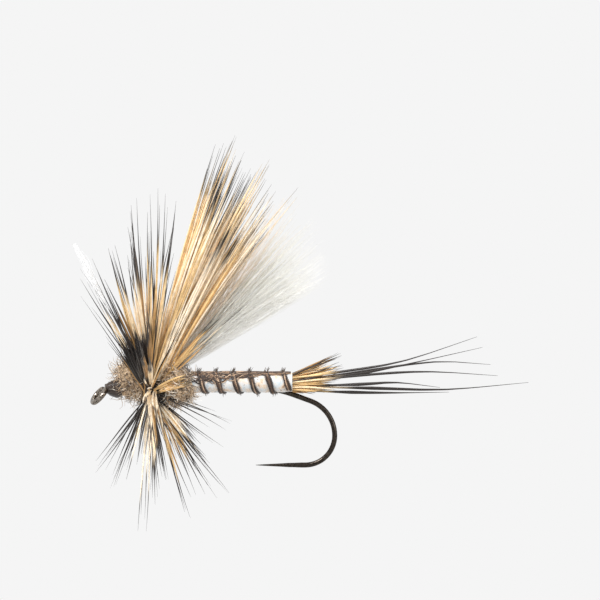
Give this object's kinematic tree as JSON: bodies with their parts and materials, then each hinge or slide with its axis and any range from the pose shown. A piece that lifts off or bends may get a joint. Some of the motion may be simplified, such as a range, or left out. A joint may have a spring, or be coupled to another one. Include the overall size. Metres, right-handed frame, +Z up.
{
  "type": "dry fly",
  "caption": "Hair-winged dry fly on a long-shank fine-wire hook: upright hair wing, pale down, full hair collar, fur thorax, ribbed pale body, long dark tail.",
  "frame": {"origin": "centre of the hook eye", "axes": "+X along the shank from the eye to the tail, +Z up through the wing, +Y to the far side"},
  "size_m": [0.0354, 0.0204, 0.0307],
  "materials": {
    "black_nickel_wire": "glossy black-nickel plating on spring steel wire",
    "tying_thread": "fine waxed thread in close turns, varnished at the head",
    "fur_dubbing": "matt mottled underfur, fuzzy",
    "pale_floss": "soft satin, pale silver grey",
    "brown_quill": "matt fibres with short flues",
    "golden_hair": "smooth hollow hair with dark tips, low sheen",
    "dark_hair": "smooth dark hair, low sheen",
    "pale_down": "translucent matt down barbs"
  },
  "bodies": {
    "root": {"abdomen_floss": "pale_floss", "back_strip": "brown_quill", "down_plume_far": "pale_down", "down_plume_near": "pale_down", "hackle_front_1": "golden_hair", "hackle_front_2": "dark_hair", "hackle_front_3": "golden_hair", "hackle_front_4": "dark_hair", "hackle_front_5": "golden_hair", "hackle_front_6": "dark_hair", "hackle_front_7": "golden_hair", "hackle_front_8": "dark_hair", "hackle_middle_1": "golden_hair", "hackle_middle_2": "dark_hair", "hackle_middle_3": "golden_hair", "hackle_middle_4": "dark_hair", "hackle_middle_5": "golden_hair", "hackle_middle_6": "dark_hair", "hackle_middle_7": "golden_hair", "hackle_middle_8": "dark_hair", "hackle_rear_1": "golden_hair", "hackle_rear_2": "dark_hair", "hackle_rear_3": "golden_hair", "hackle_rear_4": "dark_hair", "hackle_rear_5": "golden_hair", "hackle_wraps": "tying_thread", "head_thread": "tying_thread", "hook": "black_nickel_wire", "rib_quill": "brown_quill", "tail_core": "golden_hair", "tail_fibre_1": "dark_hair", "tail_fibre_2": "dark_hair", "tail_fibre_3": "dark_hair", "tail_fibre_4": "dark_hair", "tail_fibre_5": "dark_hair", "tail_fibre_6": "dark_hair", "tail_fibre_7": "dark_hair", "tail_lock_far": "golden_hair", "tail_lock_low_far": "golden_hair", "tail_lock_low_near": "golden_hair", "tail_lock_near": "golden_hair", "tail_lock_top": "golden_hair", "tail_tie_thread": "tying_thread", "thorax_dubbing_front": "fur_dubbing", "thorax_dubbing_rear": "fur_dubbing", "thread_base": "tying_thread", "wing_lock_front": "golden_hair", "wing_lock_middle_far": "golden_hair", "wing_lock_middle_near": "golden_hair", "wing_lock_rear_far": "golden_hair", "wing_lock_rear_near": "golden_hair", "wing_wraps": "tying_thread"}
  },
  "joints": []
}
